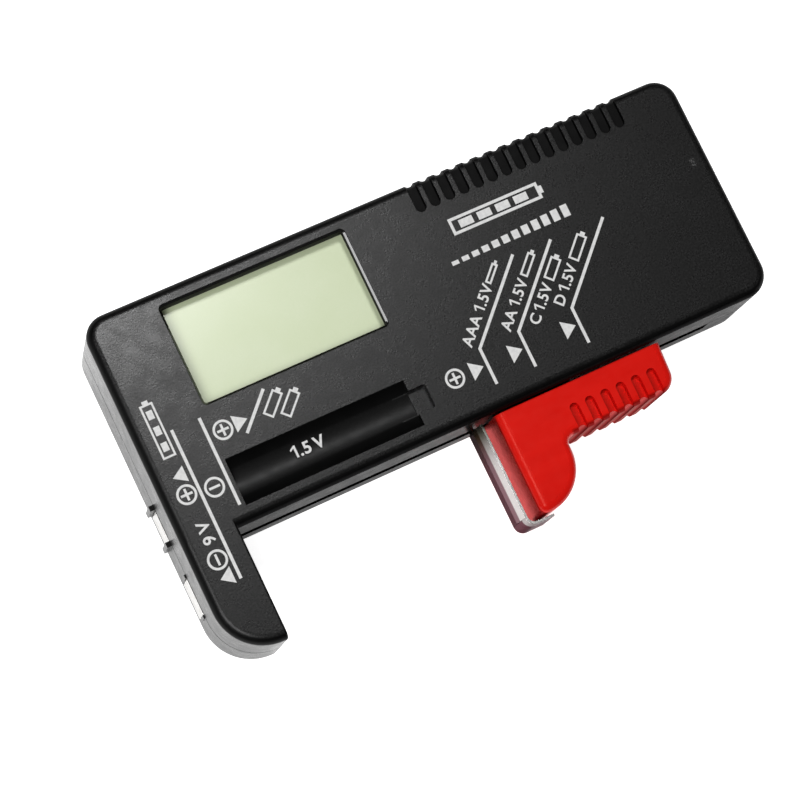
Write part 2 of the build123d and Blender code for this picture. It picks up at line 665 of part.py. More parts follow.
# ---------------------------------------------------------------- slider
with BuildPart() as slider_grip:
    toe = NOSE_X - GRIP_LEFT
    toe_y = NOSE_Y - NOSE_RADIUS + toe
    nose_right = NOSE_X + NOSE_RADIUS
    with BuildSketch(Plane.XY.offset(GRIP_BACK)) as outline:
        with BuildLine():
            CenterArc((NOSE_X, NOSE_Y), NOSE_RADIUS, 0, -90)
            CenterArc((NOSE_X, toe_y), toe, 270, -90)
            Polyline(
                (GRIP_LEFT, toe_y), (GRIP_LEFT, GRIP_TOP), (GRIP_RIGHT, GRIP_TOP),
                (GRIP_RIGHT - GRIP_DRAFT, GRIP_LOW), (nose_right, GRIP_LOW), (nose_right, NOSE_Y),
            )
        make_face()
        heel = (GRIP_RIGHT - GRIP_DRAFT, GRIP_LOW, GRIP_BACK)
        crook = (nose_right, GRIP_LOW, GRIP_BACK)
        fillet(outline.vertices().sort_by_distance(heel)[0], radius=GRIP_HEEL)
        fillet(outline.vertices().sort_by_distance(crook)[0], radius=GRIP_CROOK)
    extrude(amount=GRIP_FRONT - GRIP_BACK)
    for level, radius in ((-1, 1.4), (0, 1.0)):
        rim = slider_grip.faces().sort_by(Axis.Z)[level].edges()
        fillet(rim.sort_by(Axis.Y)[:-1], radius=radius)
    groove_xs = [GRIP_GROOVE_FIRST_X + GRIP_GROOVE_PITCH * k for k in range(GRIP_GROOVES)]
    run = BODY_LOW - GRIP_LOW
    with BuildSketch(Plane.XY.offset(GRIP_FRONT - GRIP_GROOVE_DEPTH)):
        with Locations(*[(x, GRIP_GROOVE_TOP) for x in groove_xs]):
            Circle(GRIP_GROOVE_RADIUS)
            Rectangle(2 * GRIP_GROOVE_RADIUS, run, align=(Align.CENTER, Align.MAX))
    extrude(amount=2 * GRIP_GROOVE_DEPTH, mode=Mode.SUBTRACT)
    with BuildSketch(Plane.XY.offset(GRIP_BACK)):
        with Locations(*[(x, GRIP_LOW) for x in groove_xs]):
            Circle(GRIP_GROOVE_RADIUS)
    extrude(amount=GRIP_FRONT - GRIP_BACK, mode=Mode.SUBTRACT)
    # Pocket for the carriage's tongue, and the screw's counterbore and hole.
    add(block(NECK_X, (NECK_LOW, BODY_LOW), NECK_Z), mode=Mode.SUBTRACT)
    bore_z = (GRIP_BACK, GRIP_BACK + SLIDER_BORE_DEPTH)
    hole_z = (GRIP_BACK, SLIDER_SCREW_TIP + 0.4)
    add(posts([SLIDER_SCREW], SLIDER_BORE_RADIUS, bore_z), mode=Mode.SUBTRACT)
    add(posts([SLIDER_SCREW], BOARD_SCREW_RADIUS, hole_z), mode=Mode.SUBTRACT)
save(slider_grip.part, "slider_grip")

with BuildPart() as slider_carriage:
    add(block(CARRIAGE_X, CARRIAGE_Y, CARRIAGE_Z))
    fillet(slider_carriage.edges().filter_by(Axis.Z), radius=0.6)
    add(block(NECK_X, (NECK_LOW, CARRIAGE_Y[0] + 1), NECK_Z))
    # Cheeks above and below the leaf's tail.
    cheek_x = (CARRIAGE_X[0] - 1.3, CARRIAGE_X[0] + 1)
    cheek_y = (CARRIAGE_Y[0], TAIL_TOP + 0.1)
    for cheek_z in ((TAIL_Z[0] - 0.9, TAIL_Z[0] - 0.3), (TAIL_Z[1] + 0.3, TAIL_Z[1] + 0.9)):
        add(block(cheek_x, cheek_y, cheek_z))
    with BuildSketch(Plane.YZ.offset(CARRIAGE_X[0])):
        with Locations((ROD_Y, ROD_Z)):
            Circle(ROD_RADIUS + ROD_RUNNING_GAP)
    extrude(amount=CARRIAGE_X[1] - CARRIAGE_X[0], mode=Mode.SUBTRACT)
    add(posts([SLIDER_SCREW], BOARD_SCREW_RADIUS, NECK_Z), mode=Mode.SUBTRACT)
    add(posts(RIVET_PLACES, RIVET_RADIUS, (RIVET_Z, CARRIAGE_Z[1])), mode=Mode.SUBTRACT)
save(slider_carriage.part, "slider_carriage")

slider_screw = screw_group(
    [SLIDER_SCREW], GRIP_BACK + 0.5, SLIDER_SCREW_TIP, BOARD_SCREW_RADIUS, 1.8, 1.5
)
save(slider_screw, "slider_screw")

# A thin leaf on the carriage rubs on the rod and carries the current to it.
with BuildPart() as slider_wiper:
    toe_z = ROD_Z + ROD_RADIUS + ROD_RUNNING_GAP + WIPER / 2
    flat_z = CARRIAGE_Z[1] + WIPER / 2
    with BuildSketch(Plane.XZ.offset(-ROD_Y - WIPER_WIDTH / 2)):
        with BuildLine():
            Polyline(
                (6.5, flat_z), (CARRIAGE_X[1] + 0.4, flat_z), (CARRIAGE_X[1] + 1.3, toe_z + 0.1),
                (CARRIAGE_X[1] + 2.1, toe_z), (CARRIAGE_X[1] + 3.0, toe_z + 0.4),
            )
            offset(amount=WIPER / 2)
        make_face()
    extrude(amount=WIPER_WIDTH)
    leaf_z = (CARRIAGE_Z[1], CARRIAGE_Z[1] + WIPER)
    add(posts(RIVET_PLACES, RIVET_RADIUS, leaf_z), mode=Mode.SUBTRACT)
save(slider_wiper.part, "slider_wiper")

with BuildPart() as wiper_rivets:
    head_z = CARRIAGE_Z[1] + WIPER
    add(posts(RIVET_PLACES, RIVET_RADIUS, (RIVET_Z, head_z)))
    add(posts(RIVET_PLACES, RIVET_RADIUS * 2, (head_z, head_z + 0.6)))
    fillet(wiper_rivets.faces().sort_by(Axis.Z)[-2:].edges(), radius=0.35)
save(wiper_rivets.part, "wiper_rivets")

# The leaf that touches the battery: creased along its length, its foot turned under the nose.
with BuildPart() as slider_contact:
    leaf_middle = (LEAF_Z[0] + LEAF_Z[1]) / 2
    edge_x = LEAF_X + LEAF_CREASE
    with BuildSketch(Plane.XZ.offset(-LEAF_TOP)):
        with BuildLine():
            Polyline(
                (edge_x, LEAF_Z[0]), (LEAF_X, leaf_middle), (edge_x, LEAF_Z[1]),
                (edge_x + STRIP, LEAF_Z[1]), (LEAF_X + STRIP, leaf_middle),
                (edge_x + STRIP, LEAF_Z[0]), close=True,
            )
        make_face()
    extrude(amount=LEAF_TOP - LEAF_LOW)
    foot_x = edge_x + LIP_RADIUS
    with BuildSketch(Plane.XY.offset(LEAF_Z[0])):
        with BuildLine():
            outer = CenterArc((foot_x, LEAF_LOW), LIP_RADIUS, 180, 90)
            inner = CenterArc((foot_x, LEAF_LOW), LIP_RADIUS - STRIP, 180, 90)
            Line(outer @ 1, (outer @ 1) + (LIP_LENGTH, 0))
            Line((outer @ 1) + (LIP_LENGTH, 0), (inner @ 1) + (LIP_LENGTH, 0))
            Line((inner @ 1) + (LIP_LENGTH, 0), inner @ 1)
            Line(outer @ 0, inner @ 0)
        make_face()
    extrude(amount=LEAF_Z[1] - LEAF_Z[0])
    fillet(slider_contact.edges().filter_by(Axis.Y).group_by(Axis.X)[-1], radius=0.1)
    add(block((edge_x, edge_x + STRIP), (LEAF_TOP - 1, TAIL_TOP), TAIL_Z))
save(slider_contact.part, "slider_contact")
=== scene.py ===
"""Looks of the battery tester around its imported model: materials, printed marks, floor, lights, camera."""

import math

import bmesh
import bpy
from mathutils import Matrix, Vector


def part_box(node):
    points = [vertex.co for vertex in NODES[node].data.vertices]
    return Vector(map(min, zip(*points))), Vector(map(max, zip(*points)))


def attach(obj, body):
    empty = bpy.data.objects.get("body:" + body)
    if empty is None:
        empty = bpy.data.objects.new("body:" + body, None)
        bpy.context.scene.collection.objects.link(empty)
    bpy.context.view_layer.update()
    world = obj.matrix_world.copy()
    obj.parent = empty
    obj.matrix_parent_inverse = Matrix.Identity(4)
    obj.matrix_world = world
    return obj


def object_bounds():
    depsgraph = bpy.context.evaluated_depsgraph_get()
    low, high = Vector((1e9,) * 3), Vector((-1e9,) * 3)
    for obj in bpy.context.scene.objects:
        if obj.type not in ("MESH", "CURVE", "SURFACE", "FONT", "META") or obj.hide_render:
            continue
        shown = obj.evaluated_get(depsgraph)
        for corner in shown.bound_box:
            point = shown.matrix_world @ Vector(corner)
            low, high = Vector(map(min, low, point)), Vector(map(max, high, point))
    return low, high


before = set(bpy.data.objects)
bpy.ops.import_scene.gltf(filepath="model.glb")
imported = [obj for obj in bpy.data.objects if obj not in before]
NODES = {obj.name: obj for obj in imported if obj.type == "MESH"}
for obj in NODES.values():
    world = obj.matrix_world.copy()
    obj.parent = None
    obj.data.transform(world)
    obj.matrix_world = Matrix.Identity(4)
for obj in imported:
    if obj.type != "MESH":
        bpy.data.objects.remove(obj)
cad_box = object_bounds()
MM = 0.001

# ---------------------------------------------------------------- places, in mm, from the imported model
COVER_LOW, COVER_HIGH = (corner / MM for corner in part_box("front_cover"))
FACE_Z = COVER_HIGH.z                       # front face of the case
TOP_Y = COVER_HIGH.y                        # the side with the finger grooves
ART_X, ART_Y = COVER_LOW.x, COVER_LOW.y     # marks and regions are laid out from this corner of the cover

TROUGH_CENTRE = (ART_X + 27.95, ART_Y + 26.05)       # the long hollow under the display
TROUGH_SIZE = (31.9, 8.1)
TROUGH_DEPTH = 1.7
WINDOW_CENTRE = (ART_X + 29.3, ART_Y + 48.2)         # the display's opening
WINDOW_SIZE = (32.6, 17.2)
WINDOW_RIM = 0.45                                    # width of the chamfer round it
PALM_CENTRE, PALM_SIZE = (ART_X + 4.0, ART_Y + 57.0), (8.0, 8.0)     # rubbed smooth at the top left
SCUFF_CENTRE, SCUFF_SIZE = (ART_X + 105.4, ART_Y + 43.9), (0.5, 1.1)     # by the right edge
ARM_INNER_X = ART_X + 9.3                            # right side of the arm
UNDERSIDE_Y = ART_Y + 19.3                           # lower side of the body, over the cell bay
GROOVE_SPAN = (ART_X + 58.4, ART_X + 98.0)           # left and right ends of the row of finger grooves
GROOVE_REACH = 5.4                                   # how far they come down the face

GRIP_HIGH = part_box("slider_grip")[1] / MM
GRIP_HEEL_Y = GRIP_HIGH.y - 8.1                      # lower side of the grip's ribbed half
GRIP_RIBS_X = GRIP_HIGH.x - 20.5                     # where the ribbed half starts, right of the nose
GRIP_RIBS_Y = GRIP_HIGH.y - 5.6                      # middle of the grooves between the ribs
LEAF_LOW, LEAF_HIGH = (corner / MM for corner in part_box("slider_contact"))
LEAF_REFLECTION_Z = (LEAF_LOW.z + LEAF_HIGH.z) / 2 + 2.0  # below this height the leaf gets a painted rose reflection of the red grip
LEAF_ROOT_Y = (LEAF_HIGH.y - 11.0, LEAF_HIGH.y - 4.5)    # its painted dark reflection of the case grows from the first to the second


# ---------------------------------------------------------------- material building
class Look:
    """One Principled material, with short calls that add and join its nodes."""

    def __init__(self, name, surface):
        self.material = bpy.data.materials.new(name)
        self.material.use_nodes = True
        self.tree = self.material.node_tree
        self.shader = self.tree.nodes["Principled BSDF"]
        self.place = self.node("TexCoord").outputs["Object"]
        for socket, value in surface.items():
            self.shader.inputs[socket].default_value = value

    def node(self, kind, inputs=None, **settings):
        """A new node with its settings and its inputs, which are numbers or other nodes' outputs."""
        made = self.tree.nodes.new("ShaderNode" + kind)
        for key, value in settings.items():
            setattr(made, key, value)
        for key, value in (inputs or {}).items():
            self.feed(made.inputs[key], value)
        return made

    def feed(self, socket, value):
        """Links a node's output to a socket, or sets the socket to a number or colour."""
        if isinstance(value, bpy.types.NodeSocket):
            self.tree.links.new(value, socket)
        else:
            socket.default_value = value

    def set(self, socket, value):
        """Feeds one of the shader's own sockets."""
        self.feed(self.shader.inputs[socket], value)

    # patterns, 0 to 1
    def noise(self, size, detail=2.0, roughness=0.5, stretch=None):
        """Soft noise with features about size mm across, drawn out along the axes where stretch is small."""
        place = self.place
        if stretch:
            place = self.node("Mapping", {"Vector": place, "Scale": stretch}).outputs[0]
        inputs = {"Vector": place, "Scale": 1 / (size * MM), "Detail": detail, "Roughness": roughness}
        return self.node("TexNoise", inputs).outputs[0]

    def cells(self, size, feature="F1"):
        """Distance to the nearest of many seeds about size mm apart."""
        inputs = {"Vector": self.place, "Scale": 1 / (size * MM)}
        return self.node("TexVoronoi", inputs, feature=feature).outputs["Distance"]

    def stripes(self, size, axis):
        """Soft waves across an axis, some size mm long."""
        inputs = {"Vector": self.place, "Scale": 1 / (size * MM)}
        return self.node("TexWave", inputs, bands_direction=axis).outputs[1]

    # sums
    def ranged(self, value, low, high, to_low=0.0, to_high=1.0, smooth=False):
        """value from low to high, spread over to_low to to_high and held at its ends."""
        inputs = {"Value": value, "From Min": low, "From Max": high, "To Min": to_low, "To Max": to_high}
        kind = "SMOOTHSTEP" if smooth else "LINEAR"
        return self.node("MapRange", inputs, interpolation_type=kind).outputs[0]

    def maths(self, operation, *values):
        """The values taken together from left to right, or one value changed."""
        if len(values) == 1:
            return self.node("Math", {0: values[0]}, operation=operation).outputs[0]
        result = values[0]
        for value in values[1:]:
            result = self.node("Math", {0: result, 1: value}, operation=operation).outputs[0]
        return result

    def product(self, *values):
        return self.maths("MULTIPLY", *values)

    def highest(self, *values):
        return self.maths("MAXIMUM", *values)

    def total(self, *values):
        return self.maths("ADD", *values)

    def mixed(self, share, first, second):
        """The first colour where share is 0 and the second where it is 1."""
        made = self.node("Mix", {0: share, 6: first, 7: second}, data_type="RGBA")
        return made.outputs[2]

    # places on the piece, as masks from 0 to 1
    def axis(self, name):
        """The piece's own x, y or z, in metres."""
        return self.node("SeparateXYZ", {"Vector": self.place}).outputs[name]

    def rising(self, axis, start, end, smooth=False):
        """0 up to start and 1 from end along an axis; both in mm."""
        return self.ranged(self.axis(axis), start * MM, end * MM, smooth=smooth)

    def falling(self, axis, start, end):
        """1 up to start and 0 from end along an axis; both in mm."""
        return self.ranged(self.axis(axis), start * MM, end * MM, 1.0, 0.0)

    def band(self, axis, centre, half_width, soft):
        """1 within half_width of centre along an axis, falling to 0 over soft; all in mm."""
        away = self.maths("ABSOLUTE", self.maths("SUBTRACT", self.axis(axis), centre * MM))
        return self.ranged(away, half_width * MM, (half_width + soft) * MM, 1.0, 0.0, smooth=True)

    def rectangle(self, centre, size, soft):
        """1 over a rectangle of the face seen along Z, and 0 outside it."""
        across = self.band("X", centre[0], size[0] / 2, soft)
        return self.product(across, self.band("Y", centre[1], size[1] / 2, soft))

    def facing_up(self):
        """The surface normal's Z: 1 on the front face, 0 on the sides and -1 on the back."""
        normal = self.node("NewGeometry").outputs["Normal"]
        return self.node("SeparateXYZ", {"Vector": normal}).outputs["Z"]

    def worn_edges(self, radius, gain):
        """Where the surface turns an edge: near 1 on sharp corners and 0 on flats."""
        rounded = self.node("Bevel", {"Radius": radius * MM}, samples=4).outputs[0]
        plain = self.node("NewGeometry").outputs["Normal"]
        facing = self.node("VectorMath", {0: rounded, 1: plain}, operation="DOT_PRODUCT").outputs["Value"]
        return self.ranged(facing, 1.0, 1.0 - gain)

    def relief(self, *layers, edge=0.0):
        """Bumps laid one on another: pairs of a height from 0 to 1 and its depth in mm."""
        normal = self.node("Bevel", {"Radius": edge * MM}, samples=4).outputs[0] if edge else None
        for height, depth in layers:
            inputs = {"Height": height, "Distance": depth * MM, "Strength": 1.0}
            if normal is not None:
                inputs["Normal"] = normal
            normal = self.node("Bump", inputs).outputs[0]
        self.set("Normal", normal)


def grey(value, warmth=0.0):
    """A linear grey, a little warmer or cooler."""
    return (value * (1 + warmth), value, value * (1 - warmth), 1.0)


# ---------------------------------------------------------------- case plastic
# The parts with painted shade are made partly metallic, so that they reflect only their own dark colour.
TROUGH_METALLIC, TURN_METALLIC, HOLLOW_METALLIC = 0.4, 0.6, 0.6
UNDERSIDE_SHARE = 0.85      # share of the painted shade and its metallic finish, on the side over the cell bay
EDGE_FADE = 0.1             # over this many mm a region's finish fades out at its edge


def case_trough(look):
    """The long hollow under the display, which gets painted shade."""
    below_face = look.falling("Z", FACE_Z - 0.3, FACE_Z - 0.1)
    return look.product(look.rectangle(TROUGH_CENTRE, TROUGH_SIZE, EDGE_FADE), below_face)


def case_window(look):
    """The chamfer round the display's opening, and the reveal below it, which gets painted shadow."""
    chamfered = (WINDOW_SIZE[0] + 2 * WINDOW_RIM, WINDOW_SIZE[1] + 2 * WINDOW_RIM)
    window = look.rectangle(WINDOW_CENTRE, chamfered, EDGE_FADE)
    foot = (FACE_Z - 0.42, FACE_Z - 0.32)
    below_face = look.falling("Z", FACE_Z - 0.08, FACE_Z - 0.05)
    chamfer = look.product(window, look.rising("Z", *foot), below_face)
    return chamfer, look.product(window, look.falling("Z", *foot))


def case_grooves(look):
    """The floors of the finger grooves where they cross the face, which get painted shade."""
    left, right = GROOVE_SPAN
    low_end = TOP_Y - GROOVE_REACH
    return look.product(
        look.band("X", (left + right) / 2, (right - left) / 2, EDGE_FADE),
        look.rising("Y", low_end - 0.4, low_end),
        look.falling("Y", TOP_Y - 0.9, TOP_Y - 0.5),
        look.falling("Z", FACE_Z - 0.5, FACE_Z - 0.15),
    )


def case_underside(look):
    """The side of the body over the cell bay, right of the arm, which sees little light."""
    along = look.rising("X", ARM_INNER_X, ARM_INNER_X + 0.2)
    return look.product(look.band("Y", UNDERSIDE_Y, 0.6, 0.2), along, UNDERSIDE_SHARE)


def case_turn(look):
    """The rounded edge between the face and the sides: neither facing up nor upright. It gets painted shade.
    """
    up = look.facing_up()
    return look.product(look.ranged(up, 0.90, 0.97, 1.0, 0.0), look.ranged(up, 0.12, 0.3))


def case_tone(look, mottle, handled, trough, turn, under, hollow):
    """Near-black specks and clouds, paler at worn edges and at one scuff; painted shade darkens the trough,
    the rounded edges and the underside, and most of all the hollows.
    """
    speck = look.ranged(look.total(mottle, look.product(handled, 0.25)), 0.4, 0.85)
    tone = look.mixed(speck, grey(0.001), grey(0.018))
    cloud = look.ranged(look.noise(9.0, detail=3.0), 0.3, 0.7, 0.0, 0.4)
    tone = look.mixed(cloud, tone, grey(0.006, 0.02))
    # painted shade: the trough, the rounded edges and the underside are darkened
    tone = look.mixed(look.highest(look.product(trough, 0.75), turn, under), tone, grey(0.004))
    edge = look.product(look.worn_edges(0.18, 0.3), look.ranged(handled, 0.2, 0.8, 0.05, 0.25))
    scuff = look.ranged(look.noise(0.28, detail=2.0), 0.5, 0.58)
    scuff = look.product(scuff, look.rectangle(SCUFF_CENTRE, SCUFF_SIZE, 0.4))
    tone = look.mixed(look.highest(edge, scuff), tone, grey(0.10))
    # painted shade, darkest: the finger grooves and the window's reveal
    return look.mixed(look.product(hollow, 0.9), tone, grey(0.0015))


def case_roughness(look, mottle, handled, trough, turn, hollow):
    """Satin, mottled, smoother where the hand rubs it, and duller at the edges and in the hollows."""
    palm = look.product(look.rectangle(PALM_CENTRE, PALM_SIZE, 9.0), -0.04)
    mottled = look.ranged(mottle, 0.2, 0.8, -0.045, 0.045)
    dulled = look.product(look.highest(turn, trough), 0.12)
    satin = look.ranged(handled, 0.0, 1.0, 0.325, 0.25)
    return look.total(satin, mottled, palm, dulled, look.product(hollow, 0.3))


def case_plastic():
    """Charcoal ABS with a spark-eroded grain, flatter in the trough and glossy on the window's chamfer."""
    gloss = {"IOR": 1.5, "Specular IOR Level": 0.8, "Specular Tint": grey(0.3)}
    look = Look("case_plastic", {**gloss, "Coat Roughness": 0.07, "Coat IOR": 1.9})
    mottle = look.noise(0.3, detail=2.0, roughness=0.6)
    handled = look.ranged(look.noise(2.4, detail=3.0, roughness=0.6), 0.35, 0.7)
    trough, turn, under = case_trough(look), case_turn(look), case_underside(look)
    chamfer, reveal = case_window(look)
    hollow = look.highest(case_grooves(look), reveal)
    look.set("Coat Weight", chamfer)
    dulled = ((trough, TROUGH_METALLIC), (turn, TURN_METALLIC), (hollow, HOLLOW_METALLIC))
    look.set("Metallic", look.highest(under, *(look.product(mask, share) for mask, share in dulled)))
    look.set("Base Color", case_tone(look, mottle, handled, trough, turn, under, hollow))
    look.set("Roughness", case_roughness(look, mottle, handled, trough, turn, hollow))
    strength = look.ranged(look.highest(trough, chamfer), 0.0, 1.0, 1.0, 0.1)
    grain = look.product(look.noise(0.19, detail=3.0, roughness=0.6), strength)
    pits = look.product(look.cells(0.34), strength)
    look.relief((grain, 0.012), (pits, 0.006), edge=0.12)
    return look.material


# ---------------------------------------------------------------- grip, metals and display
def grip_plastic():
    """Saturated red ABS with fine flow marks, and painted shade under the ribs and in their grooves."""
    gloss = {"IOR": 1.5, "Specular IOR Level": 0.35, "Specular Tint": (0.8, 0.3, 0.24, 1.0)}
    look = Look("grip_plastic", gloss)
    flow = look.noise(3.5, detail=4.0, stretch=(0.35, 1.0, 1.0))
    tone = look.mixed(look.ranged(flow, 0.3, 0.7), (0.66, 0.008, 0.005, 1.0), (0.74, 0.011, 0.007, 1.0))
    groove_floors = look.product(
        look.band("Y", GRIP_RIBS_Y, 2.5, 0.4), look.falling("Z", GRIP_HIGH.z - 0.5, GRIP_HIGH.z - 0.2), 0.2)
    under = look.product(look.falling("Y", GRIP_HEEL_Y + 0.15, GRIP_HEEL_Y + 0.9), 0.85)
    ribbed_half = look.rising("X", GRIP_RIBS_X, GRIP_RIBS_X + 0.5)
    shade = look.product(look.highest(groove_floors, under), ribbed_half)
    # painted shade: dark red under the ribs and on the groove floors of the ribbed half
    look.set("Base Color", look.mixed(shade, tone, (0.10, 0.001, 0.001, 1.0)))
    upright = look.ranged(look.maths("ABSOLUTE", look.facing_up()), 0.15, 0.5, 0.6, 0.0)
    # the painted shade is partly metallic, so that it reflects only its own dark red
    look.set("Metallic", look.highest(look.product(shade, 0.9), upright))
    rough = look.ranged(look.noise(1.4, detail=3.0), 0.3, 0.7, 0.19, 0.26)
    look.set("Roughness", look.total(rough, look.product(shade, 0.2)))
    look.relief((look.noise(0.18, detail=2.0), 0.004), (flow, 0.02))
    return look.material


def plated_metal(name, tone, dull, roughness, grain):
    """Bare or plated metal: dull patches, and scratches drawn out along the axis where grain is small."""
    look = Look(name, {"Metallic": 1.0})
    drawn = look.noise(0.12, detail=3.0, stretch=grain)
    patch = look.noise(1.6, detail=4.0, roughness=0.6)
    stain = look.ranged(patch, 0.45, 0.75)
    look.set("Base Color", look.mixed(look.product(stain, 0.6), tone, dull))
    rough = look.ranged(drawn, 0.25, 0.75, roughness * 0.8, roughness * 1.25)
    look.set("Roughness", look.total(rough, look.product(stain, 0.1)))
    look.relief((drawn, 0.004), (patch, 0.004), edge=0.05)
    return look.material


def contact_leaf():
    """The slider's plated leaf, with a painted rose reflection of the red grip on its back half and a
    painted dark reflection of the case that deepens towards its root.
    """
    look = Look("contact_leaf", {"Metallic": 1.0, "Specular Tint": (0.12, 0.08, 0.09, 1.0)})
    drawn = look.noise(0.12, detail=3.0, stretch=(1.0, 0.12, 1.0))
    patch = look.ranged(look.noise(1.2, detail=4.0, roughness=0.6), 0.4, 0.7, 0.0, 0.4)
    tone = look.mixed(patch, (0.90, 0.89, 0.87, 1), (0.80, 0.78, 0.75, 1))
    grip_reflection = look.product(look.falling("Z", LEAF_REFLECTION_Z - 0.2, LEAF_REFLECTION_Z + 0.2), 0.95)
    # painted reflection of the red grip: rose on the leaf's back half
    tone = look.mixed(grip_reflection, tone, (0.36, 0.25, 0.27, 1))
    case_reflection = look.product(look.rising("Y", *LEAF_ROOT_Y, smooth=True), 0.85)
    # painted dark reflection of the black case, growing towards the leaf's root
    look.set("Base Color", look.mixed(case_reflection, tone, (0.09, 0.10, 0.07, 1)))
    look.set("Roughness", look.ranged(drawn, 0.25, 0.75, 0.2, 0.3))
    look.relief((drawn, 0.003), edge=0.05)
    return look.material


def display_face():
    """The display's polariser: pale green, with the reflector's fine mottle behind it."""
    look = Look("display_face", {"IOR": 1.5, "Coat Weight": 0.35, "Coat Roughness": 0.18})
    mottle = look.noise(0.3, detail=2.0)
    cloud = look.ranged(look.noise(11.0, detail=2.0), 0.35, 0.65)
    tone = look.mixed(cloud, (0.615, 0.695, 0.450, 1.0), (0.640, 0.715, 0.485, 1.0))
    speck = look.ranged(mottle, 0.3, 0.7, 0.0, 0.25)
    look.set("Base Color", look.mixed(speck, tone, (0.59, 0.675, 0.43, 1.0)))
    look.set("Roughness", look.ranged(mottle, 0.3, 0.7, 0.42, 0.52))
    look.relief((mottle, 0.002))
    return look.material


def printed_ink():
    """Off-white pad-printing ink, slightly mealy, with thin greyer patches."""
    look = Look("printed_ink", {"IOR": 1.45})
    mealy = look.noise(0.12, detail=3.0, roughness=0.7)
    tone = look.mixed(look.ranged(mealy, 0.3, 0.7), (0.70, 0.70, 0.69, 1.0), (0.82, 0.82, 0.81, 1.0))
    full = look.ranged(look.noise(0.7, detail=3.0), 0.35, 0.6)
    look.set("Base Color", look.mixed(full, grey(0.66), tone))
    look.set("Roughness", look.ranged(mealy, 0.3, 0.7, 0.5, 0.65))
    look.relief((mealy, 0.006))
    return look.material


# ---------------------------------------------------------------- the parts inside
def moulded(name, dark, light, roughness, grain=0.3, depth=0.01):
    """Plain moulded or coated stuff: two tones of one colour, a grain and small bumps."""
    look = Look(name, {"IOR": 1.5})
    fine = look.noise(grain, detail=3.0, roughness=0.6)
    broad = look.noise(grain * 9, detail=3.0)
    blend = look.total(look.product(fine, 0.5), look.product(broad, 0.5))
    look.set("Base Color", look.mixed(look.ranged(blend, 0.35, 0.65), dark, light))
    look.set("Roughness", look.ranged(broad, 0.3, 0.7, roughness - 0.06, roughness + 0.06))
    look.relief((fine, depth), (broad, depth))
    return look.material


def circuit_laminate():
    """Green solder resist over woven glass, with paler tracks under it."""
    look = Look("board_laminate", {"IOR": 1.5, "Coat Weight": 0.2, "Coat Roughness": 0.2})
    weave = look.product(look.stripes(0.9, "X"), look.stripes(0.9, "Y"))
    tracks = look.ranged(look.cells(2.6, "DISTANCE_TO_EDGE"), 0.08, 0.12, 1.0, 0.0)
    tone = look.mixed(weave, (0.012, 0.075, 0.03, 1.0), (0.018, 0.105, 0.042, 1.0))
    look.set("Base Color", look.mixed(look.product(tracks, 0.8), tone, (0.03, 0.16, 0.06, 1.0)))
    look.set("Roughness", look.ranged(weave, 0.0, 1.0, 0.34, 0.44))
    look.relief((tracks, 0.03), (weave, 0.004))
    return look.material


def wound_copper():
    """Enamelled copper wire, lying turn beside turn round the core, darkened by painted shade in the creases
    between the turns.
    """
    look = Look("copper_winding", {"Metallic": 1.0})
    turns = look.stripes(1.1, "Z")
    # copper colour, with painted shade in the creases between the turns
    look.set("Base Color", look.mixed(turns, (0.28, 0.07, 0.02, 1.0), (0.75, 0.28, 0.11, 1.0)))
    look.set("Roughness", look.ranged(turns, 0.0, 1.0, 0.42, 0.24))
    look.relief((turns, 0.08))
    return look.material


STEEL_DULL = (0.36, 0.36, 0.37, 1.0)
EVEN, ALONG_Y, ALONG_Z = (1.0, 1.0, 1.0), (1.0, 0.12, 1.0), (1.0, 1.0, 0.1)     # how scratches are drawn out

METALS = {    # slot: bright tone, dull tone, roughness, how its scratches are drawn out
    "nickel_strip": ((0.68, 0.67, 0.65, 1), (0.50, 0.47, 0.43, 1), 0.2, ALONG_Y),
    "rod_steel": ((0.56, 0.56, 0.57, 1), STEEL_DULL, 0.22, (0.05, 1.0, 1.0)),
    "screw_steel": ((0.50, 0.50, 0.52, 1), STEEL_DULL, 0.3, (1.0, 1.0, 0.3)),
    "bronze_leaf": ((0.72, 0.42, 0.20, 1), (0.40, 0.22, 0.12, 1), 0.28, (0.1, 1.0, 1.0)),
    "rivet_brass": ((0.80, 0.58, 0.26, 1), (0.50, 0.34, 0.15, 1), 0.3, EVEN),
    "capacitor_can": ((0.70, 0.71, 0.73, 1), (0.46, 0.47, 0.5, 1), 0.26, ALONG_Z),
    "reflector_film": ((0.70, 0.71, 0.70, 1), (0.6, 0.61, 0.6, 1), 0.4, EVEN),
}
